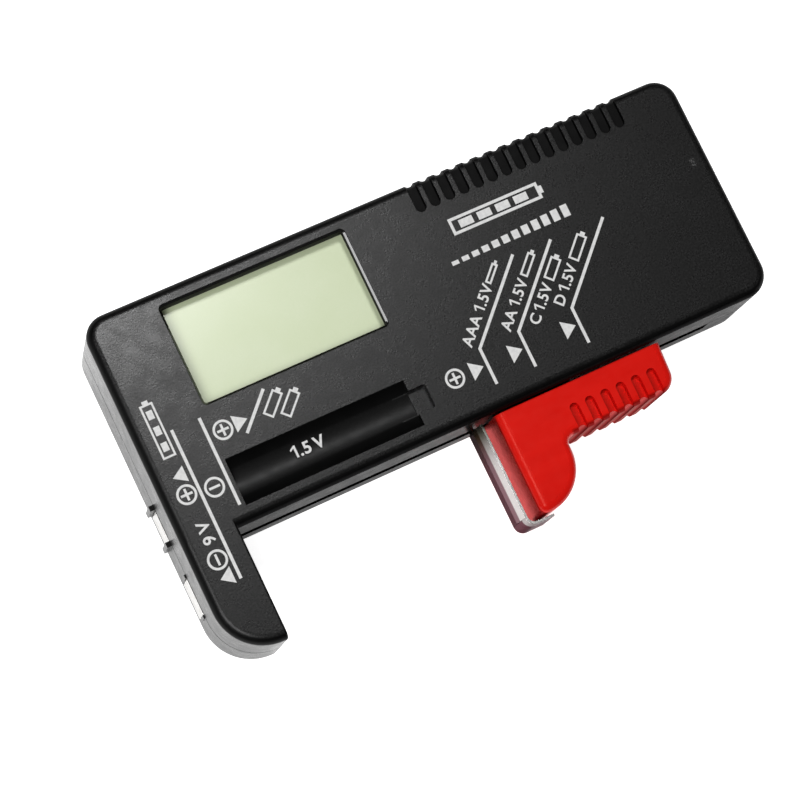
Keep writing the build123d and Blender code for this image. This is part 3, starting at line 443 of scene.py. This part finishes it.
MOULDINGS = {    # slot: dark tone, light tone, roughness, grain in mm, bump depth in mm
    "display_glass": ((0.30, 0.36, 0.31, 1), (0.36, 0.42, 0.36, 1), 0.12, 0.3, 0.001),
    "gasket_foam": (grey(0.010), grey(0.024), 0.85, 0.16, 0.06),
    "elastomer": ((0.18, 0.17, 0.16, 1), (0.30, 0.28, 0.27, 1), 0.6, 0.12, 0.02),
    "blob_epoxy": (grey(0.006), grey(0.012), 0.22, 0.5, 0.02),
    "chip_ceramic": (grey(0.012), grey(0.022), 0.4, 0.1, 0.01),
    "capacitor_ceramic": ((0.30, 0.17, 0.09, 1), (0.38, 0.23, 0.13, 1), 0.4, 0.1, 0.01),
    "resistor_lacquer": ((0.42, 0.30, 0.17, 1), (0.50, 0.37, 0.22, 1), 0.34, 0.2, 0.01),
    "diode_body": (grey(0.010), grey(0.018), 0.35, 0.2, 0.01),
    "ferrite": (grey(0.020), grey(0.034), 0.55, 0.15, 0.02),
    "wire_red": ((0.42, 0.008, 0.006, 1), (0.50, 0.014, 0.01, 1), 0.38, 0.2, 0.01),
    "wire_black": (grey(0.008), grey(0.014), 0.4, 0.2, 0.01),
    "wire_white": (grey(0.55), grey(0.66), 0.42, 0.2, 0.01),
    "wire_yellow": ((0.62, 0.40, 0.02, 1), (0.70, 0.47, 0.04, 1), 0.4, 0.2, 0.01),
    "carriage_plastic": (grey(0.05), grey(0.07), 0.45, 0.25, 0.012),
}
MATERIALS = {
    "case_plastic": case_plastic(),
    "grip_plastic": grip_plastic(),
    "display_face": display_face(),
    "board_laminate": circuit_laminate(),
    "copper_winding": wound_copper(),
    **{slot: plated_metal(slot, *finish) for slot, finish in METALS.items()},
    **{slot: moulded(slot, *finish) for slot, finish in MOULDINGS.items()},
}
INK = printed_ink()


def dress_nodes():
    """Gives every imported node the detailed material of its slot, and the leaf its own."""
    for node in NODES.values():
        for index, material in enumerate(node.data.materials):
            node.data.materials[index] = MATERIALS[material.name.split(".")[0]]
    NODES["slider_contact"].data.materials[0] = contact_leaf()


# ---------------------------------------------------------------- printed marks
INK_THICK = 0.02      # how far the ink stands over the face
INK_SUNK = 0.02       # and how far it reaches into it, so that it never floats
FACE_INK = (FACE_Z - INK_SUNK, FACE_Z + INK_THICK)
TROUGH_FLOOR = FACE_Z - TROUGH_DEPTH
TROUGH_INK = (TROUGH_FLOOR - INK_SUNK, TROUGH_FLOOR + 0.4)     # deep enough for the floor's slight hollow

LINE_WIDTH = 0.52
RING_RADIUS = 1.68
RING_STROKE = 0.40
MINUS_REACH, PLUS_REACH = 0.95, 1.0      # half lengths of the signs' bars
CIRCLE_STEPS = 40
SYMBOL_STROKE = 0.34
SYMBOL_NUB = 0.55                        # how far a battery symbol's nub stands out
FONT_CAPITAL = 0.729                     # capital height of Blender's own font, by its size
FONT_BOLDER = 0.028                      # stroke added to the lettering, by its height

# Places of the marks, in mm from the cover's lower left corner.
NINE_VOLT_LINE = (6.26, 11.74, 37.83)    # x, lowest y, highest y
NINE_VOLT_PLUS, NINE_VOLT_MINUS = (4.09, 27.39), (4.12, 15.95)
NINE_VOLT_POINTERS = (((3.15, 30.6), 2.74, 2.2), ((3.2, 12.85), 2.9, 2.15))      # tip, width, length
NINE_VOLT_SYMBOL, NINE_VOLT_BARS = (4.2, 38.6), (35.8, 38.6, 41.4)
NINE_VOLT_LABEL = ("9 V", (5.25, 18.6), 2.1, 90)                 # words, start, height, turn
CELL_LINE = (11.09, 22.48, 37.83)
CELL_MINUS, SMALL_CELL_PLUS = (8.62, 26.68), (13.76, 34.54)
SMALL_CELL_LINE = ((17.06, 32.48), (22.5, 38.0))
SMALL_CELL_POINTER = ((18.1, 34.65), 2.94, 2.35)
SMALL_CELL_SYMBOLS = ((22.9, 35.2), (25.5, 34.1))
SCALE_PLUS = (51.83, 26.88)
SCALE_FOOT, SCALE_BEND = 23.3, 29.71     # lowest y of the cell scale's lines, and where they turn
SCALE_LINES = ((57.79, 69.9), (65.0, 76.9), (74.97, 86.8))       # foot x, end x
SCALE_POINTER_Y, SCALE_POINTER_GAP = 26.83, 0.75
SCALE_LABELS = (    # words, start, where the cell's symbol begins after that, its length and height
    ("AAA 1.5V", (56.6, 30.4), 11.3, 3.6, 1.1),
    ("AA 1.5V", (63.7, 30.2), 9.8, 4.2, 1.4),
    ("C 1.5V", (68.5, 29.2), 8.1, 4.0, 1.9),
    ("D 1.5V", (73.7, 30.4), 8.3, 4.6, 1.9),
)
SCALE_LABEL_HEIGHT, SCALE_TURN = 1.9, 45
GAUGE_CENTRE, GAUGE_BARS, GAUGE_PITCH = (70.7, 50.0), 4, 3.4     # the long cell in place of a name
STEPS_START, STEPS_COUNT, STEPS_PITCH = (60.5, 44.0), 12, 1.9    # and the row of rising bars under it
TROUGH_LABEL = ("1.5 V", (22.4, 25.75), 2.05, 0)


def turned(outlines, centre, degrees):
    """Outlines turned about their own origin and set down at centre."""
    spin = Matrix.Rotation(math.radians(degrees), 2)
    return [[spin @ Vector(p) + Vector(centre) for p in outline] for outline in outlines]


def circle(centre, radius):
    turns = [2 * math.pi * k / CIRCLE_STEPS for k in range(CIRCLE_STEPS)]
    return [Vector((centre[0] + radius * math.cos(t), centre[1] + radius * math.sin(t))) for t in turns]


def bar(start, end, width=LINE_WIDTH):
    """The outline of a straight stroke."""
    start, end = Vector(start), Vector(end)
    side = (end - start).orthogonal().normalized() * width / 2
    return [start + side, start - side, end - side, end + side]


def upright(line):
    """A stroke along Y, from its x and its lowest and highest y."""
    x, low, high = line
    return bar((x, low), (x, high))


def bent_line(foot, bend, end, width=LINE_WIDTH):
    """An upright stroke that turns at its bend, with a mitred corner."""
    foot, bend, end = Vector(foot), Vector(bend), Vector(end)
    first, second = (bend - foot).normalized(), (end - bend).normalized()
    left_1 = Vector((-first.y, first.x)) * width / 2
    left_2 = Vector((-second.y, second.x)) * width / 2
    mitre = (left_1 + left_2) / (1 + left_1.dot(left_2) / (width / 2) ** 2)
    return [foot + left_1, bend + mitre, end + left_2, end - left_2, bend - mitre, foot - left_1]


def ring(centre):
    return [circle(centre, RING_RADIUS), circle(centre, RING_RADIUS - RING_STROKE)]


def minus_sign(centre, read_from_side=False):
    """A ringed minus; its bar lies along X, or along Y when it is read from the side."""
    reach = Vector((0, MINUS_REACH) if read_from_side else (MINUS_REACH, 0))
    return ring(centre) + [bar(Vector(centre) - reach, Vector(centre) + reach, width=RING_STROKE)]


def plus_sign(centre):
    """A ringed plus as one outline of twelve corners."""
    half = RING_STROKE / 2
    quarter = [(PLUS_REACH, -half), (PLUS_REACH, half), (half, half)]
    cross = [point for turn in range(4) for point in turned([quarter], centre, 90 * turn)[0]]
    return ring(centre) + [cross]


def triangle(tip, width, length, direction):
    """A solid pointer; direction is the way its tip points, in degrees."""
    turn = math.radians(direction)
    ahead = Vector((math.cos(turn), math.sin(turn)))
    side = Vector((-ahead.y, ahead.x)) * width / 2
    base = Vector(tip) - ahead * length
    return [Vector(tip), base + side, base - side]


def cell_symbol(centre, length, height, turn=0.0, stroke=SYMBOL_STROKE):
    """A battery drawn as a plain outline with its nub at the right end."""
    x, y, nub = length / 2, height / 2, height * 0.22
    tip = x + SYMBOL_NUB
    outer = [(-x, -y), (x, -y), (x, -nub), (tip, -nub), (tip, nub), (x, nub), (x, y), (-x, y)]
    x, y = x - stroke, y - stroke
    inner = [(-x, -y), (x, -y), (x, y), (-x, y)]
    return turned([outer, inner], centre, turn)


def curve_mesh(curve, name, low, high):
    """A flat curve or text thickened into a closed mesh between two heights."""
    curve.extrude = (high - low) / 2 * MM
    holder = bpy.data.objects.new(name, curve)
    bpy.context.scene.collection.objects.link(holder)
    bpy.context.view_layer.update()
    mesh = bpy.data.meshes.new_from_object(holder.evaluated_get(bpy.context.evaluated_depsgraph_get()))
    bpy.data.objects.remove(holder)
    mesh.transform(Matrix.Translation((0, 0, (low + high) / 2 * MM)))
    return mesh


def outline_mesh(name, outlines, low, high):
    """Closed flat shapes, inner outlines cutting holes, as a thin solid."""
    curve = bpy.data.curves.new(name, "CURVE")
    curve.dimensions, curve.fill_mode = "2D", "BOTH"
    for outline in outlines:
        spline = curve.splines.new("POLY")
        spline.points.add(len(outline) - 1)
        for point, at in zip(spline.points, outline):
            point.co = ((ART_X + at.x) * MM, (ART_Y + at.y) * MM, 0, 1)
        spline.use_cyclic_u = True
    return curve_mesh(curve, name, low, high)


def text_mesh(name, words, at, height, turn, low, high):
    """Plain bold lettering of a given capital height, turned about its start, and how wide it is."""
    curve = bpy.data.curves.new(name, "FONT")
    curve.body, curve.size = words, height / FONT_CAPITAL * MM
    curve.offset, curve.space_character, curve.resolution_u = FONT_BOLDER * height * MM, 1.08, 4
    mesh = curve_mesh(curve, name, low, high)
    wide = max(v.co.x for v in mesh.vertices) / MM
    place = Matrix.Translation(((ART_X + at[0]) * MM, (ART_Y + at[1]) * MM, 0))
    mesh.transform(place @ Matrix.Rotation(math.radians(turn), 4, "Z"))
    return mesh, wide


def numeral_one(height):
    """A plain figure one, its foot at the origin, and how far it reaches."""
    stem, flag = 0.17 * height, 0.30 * height
    points = [(flag, 0), (flag + stem, 0), (flag + stem, height), (flag + 0.3 * stem, height),
              (0, 0.78 * height), (0, 0.62 * height), (flag, 0.80 * height)]
    return points, flag + stem


def lettering(name, words, at, height, turn, low, high):
    """Words set from left to right, with a figure one that can't be taken for a letter."""
    meshes, reach = [], 0.0
    gap_after_one, gap_after_words = 0.16 * height, 0.352 * height
    spin = Matrix.Rotation(math.radians(turn), 2)
    for chunk in words.replace("1", " 1 ").split():
        start = spin @ Vector((reach, 0)) + Vector(at)
        if chunk == "1":
            points, wide = numeral_one(height)
            meshes.append(outline_mesh(name, turned([points], start, turn), low, high))
            reach += wide + gap_after_one
        else:
            mesh, wide = text_mesh(name, chunk, start, height, turn, low, high)
            meshes.append(mesh)
            reach += wide + gap_after_words
    return meshes


def marks(name, outlines, labels=(), heights=FACE_INK):
    """One printed piece on the case: outlines and lettering at one level, welded and facing outwards."""
    meshes = [outline_mesh(name, outlines, *heights)] if outlines else []
    for label in labels:
        meshes += lettering(name, *label, *heights)
    work = bmesh.new()
    for mesh in meshes:
        work.from_mesh(mesh)
    bmesh.ops.remove_doubles(work, verts=work.verts, dist=0.0005 * MM)
    bmesh.ops.dissolve_degenerate(work, edges=work.edges, dist=0.0002 * MM)
    bmesh.ops.recalc_face_normals(work, faces=work.faces)
    mesh = bpy.data.meshes.new(name)
    work.to_mesh(mesh)
    work.free()
    mesh.materials.append(INK)
    piece = bpy.data.objects.new(name, mesh)
    bpy.context.scene.collection.objects.link(piece)
    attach(piece, "case")


def nine_volt_marks():
    """The column beside the 9 V contacts: line, pointers, plus and minus, value and a battery symbol."""
    outlines = [upright(NINE_VOLT_LINE)]
    outlines += plus_sign(NINE_VOLT_PLUS) + minus_sign(NINE_VOLT_MINUS, read_from_side=True)
    outlines += [triangle(*pointer, direction=180) for pointer in NINE_VOLT_POINTERS]
    outlines += cell_symbol(NINE_VOLT_SYMBOL, 9.4, 2.3, turn=90)
    x = NINE_VOLT_SYMBOL[0]
    outlines += [bar((x, y - 0.75), (x, y + 0.75), width=1.05) for y in NINE_VOLT_BARS]
    marks("nine_volt_marks", outlines, [NINE_VOLT_LABEL])


def cell_marks():
    """The left end of the cell bay: the common minus, and the small cell's own line, plus and symbols."""
    outlines = [upright(CELL_LINE), bar(*SMALL_CELL_LINE)]
    outlines += minus_sign(CELL_MINUS) + plus_sign(SMALL_CELL_PLUS)
    outlines += [triangle(*SMALL_CELL_POINTER, direction=0)]
    for centre in SMALL_CELL_SYMBOLS:
        outlines += cell_symbol(centre, 4.4, 1.9, turn=45)
    marks("cell_marks", outlines)


def scale_marks():
    """The cell scale by the slider: bent lines and pointers, and each cell's size, value and symbol."""
    outlines, labels = plus_sign(SCALE_PLUS), []
    for foot, end in SCALE_LINES:
        outlines.append(bent_line((foot, SCALE_FOOT), (foot, SCALE_BEND), (end, SCALE_BEND + end - foot)))
        outlines.append(triangle((foot - SCALE_POINTER_GAP, SCALE_POINTER_Y), 3.2, 2.3, direction=0))
    spin = Matrix.Rotation(math.radians(SCALE_TURN), 2)
    for words, at, begins, length, height in SCALE_LABELS:
        labels.append((words, at, SCALE_LABEL_HEIGHT, SCALE_TURN))
        along = Vector((begins + length / 2, SCALE_LABEL_HEIGHT / 2))
        outlines += cell_symbol(spin @ along + Vector(at), length, height, turn=SCALE_TURN)
    marks("scale_marks", outlines, labels)


def title_marks():
    """A battery gauge above the scale, in place of a name: a long cell, and a row of rising bars."""
    x, y = GAUGE_CENTRE
    outlines = cell_symbol(GAUGE_CENTRE, 16.6, 2.95, stroke=0.5)
    for k in range(GAUGE_BARS):
        left = x - 6.7 + GAUGE_PITCH * k
        outlines.append(bar((left, y), (left + 2.5, y), width=1.35))
    x, y = STEPS_START
    for k in range(STEPS_COUNT):
        step = x + STEPS_PITCH * k
        outlines.append(bar((step, y), (step, y + 0.7 + 0.13 * k), width=1.25))
    marks("title_marks", outlines)


def trough_marks():
    """The cell voltage on the floor of the trough."""
    marks("trough_marks", [], [TROUGH_LABEL], TROUGH_INK)


# ---------------------------------------------------------------- stage, lights and camera
FLOOR_GLOW = 0.92      # lifts the sheet to clean white in the picture
FLOOR_LIGHT = 0.6      # and lights the tester's sides a little, as a lit table does
FLOOR_HALF = 3.0       # half the sheet's side, in metres
SKY_LIGHT, SKY_SEEN = 0.05, 0.95      # the world's strength for the object, and in the picture
AIM = Vector((-0.0116, -0.0023, 0.0210))      # what the camera and lamps point at, on the front face
CAMERA_AZIMUTH = -61.1
CAMERA_ELEVATION = 74.6
CAMERA_DISTANCE = 0.4197
CAMERA_ROLL = 36.2
CAMERA_LENS = 117.0


def floor_material():
    """Pale paper with a faint tooth; it glows less for the object than for the picture."""
    look = Look("floor_paper", {"IOR": 1.4, "Specular IOR Level": 0.2, "Emission Color": grey(1.0)})
    seen = look.node("LightPath").outputs["Is Camera Ray"]
    look.set("Emission Strength", look.ranged(seen, 0.0, 1.0, FLOOR_LIGHT, FLOOR_GLOW))
    tooth = look.noise(1.5, detail=3.0)
    look.set("Base Color", look.mixed(look.ranged(tooth, 0.3, 0.7), grey(0.90), grey(0.92)))
    look.set("Roughness", look.ranged(tooth, 0.3, 0.7, 0.8, 0.9))
    look.relief((tooth, 0.01))
    return look.material


def make_floor():
    """A plain pale sheet that the tester lies on."""
    mesh = bpy.data.meshes.new("floor")
    signs = ((-1, -1), (1, -1), (1, 1), (-1, 1))
    corners = [(x * FLOOR_HALF, y * FLOOR_HALF, cad_box[0].z) for x, y in signs]
    mesh.from_pydata(corners, [], [(0, 1, 2, 3)])
    mesh.materials.append(floor_material())
    floor = bpy.data.objects.new("floor", mesh)
    bpy.context.scene.collection.objects.link(floor)


def around(azimuth, elevation, distance):
    """A point round the aim. Azimuth 0 is on the -Y side and 90 on the +X side."""
    a, e = math.radians(azimuth), math.radians(elevation)
    return AIM + distance * Vector((math.sin(a) * math.cos(e), -math.cos(a) * math.cos(e), math.sin(e)))


def softbox(name, azimuth, elevation, distance, size, watts):
    """A soft rectangular lamp that faces the aim; size is its width and height in metres."""
    lamp = bpy.data.lights.new(name, "AREA")
    lamp.shape, lamp.energy = "RECTANGLE", watts
    lamp.size, lamp.size_y = size
    holder = bpy.data.objects.new(name, lamp)
    holder.location = around(azimuth, elevation, distance)
    holder.rotation_euler = (AIM - holder.location).to_track_quat("-Z", "Y").to_euler()
    bpy.context.scene.collection.objects.link(holder)


def make_world():
    """A pale surround: bright where the camera sees it, and faint as light."""
    world = bpy.data.worlds.new("studio")
    bpy.context.scene.world = world
    world.use_nodes = True
    tree = world.node_tree
    seen = tree.nodes.new("ShaderNodeLightPath").outputs["Is Camera Ray"]
    level = tree.nodes.new("ShaderNodeMapRange")
    tree.links.new(seen, level.inputs["Value"])
    level.inputs["To Min"].default_value = SKY_LIGHT
    level.inputs["To Max"].default_value = SKY_SEEN
    background = tree.nodes["Background"]
    tree.links.new(level.outputs[0], background.inputs["Strength"])
    background.inputs["Color"].default_value = grey(1.0)


def make_lights():
    """A small key box over the top edge, a broad fill from the left, and a low strip along the left."""
    softbox("key_softbox", 163, 70.2, 0.8, (0.14, 0.14), 2.5)
    softbox("fill_softbox", -70, 62, 1.0, (0.5, 0.5), 6.0)
    softbox("left_strip", -100, 13.8, 0.7, (0.6, 0.02), 0.22)
    make_world()


def make_camera():
    """Looks steeply down on the front face from its lower left, rolled so that the case slants."""
    data = bpy.data.cameras.new("camera")
    data.lens, data.sensor_width, data.clip_start = CAMERA_LENS, 36.0, 0.01
    camera = bpy.data.objects.new("camera", data)
    spot = around(CAMERA_AZIMUTH, CAMERA_ELEVATION, CAMERA_DISTANCE)
    facing = (AIM - spot).to_track_quat("-Z", "Y").to_matrix().to_4x4()
    roll = Matrix.Rotation(math.radians(CAMERA_ROLL), 4, "Z")
    camera.matrix_world = Matrix.Translation(spot) @ facing @ roll
    bpy.context.scene.collection.objects.link(camera)
    bpy.context.scene.camera = camera


bpy.context.scene.view_settings.view_transform = "Standard"
dress_nodes()
nine_volt_marks()
cell_marks()
scale_marks()
title_marks()
trough_marks()
make_floor()
make_lights()
make_camera()
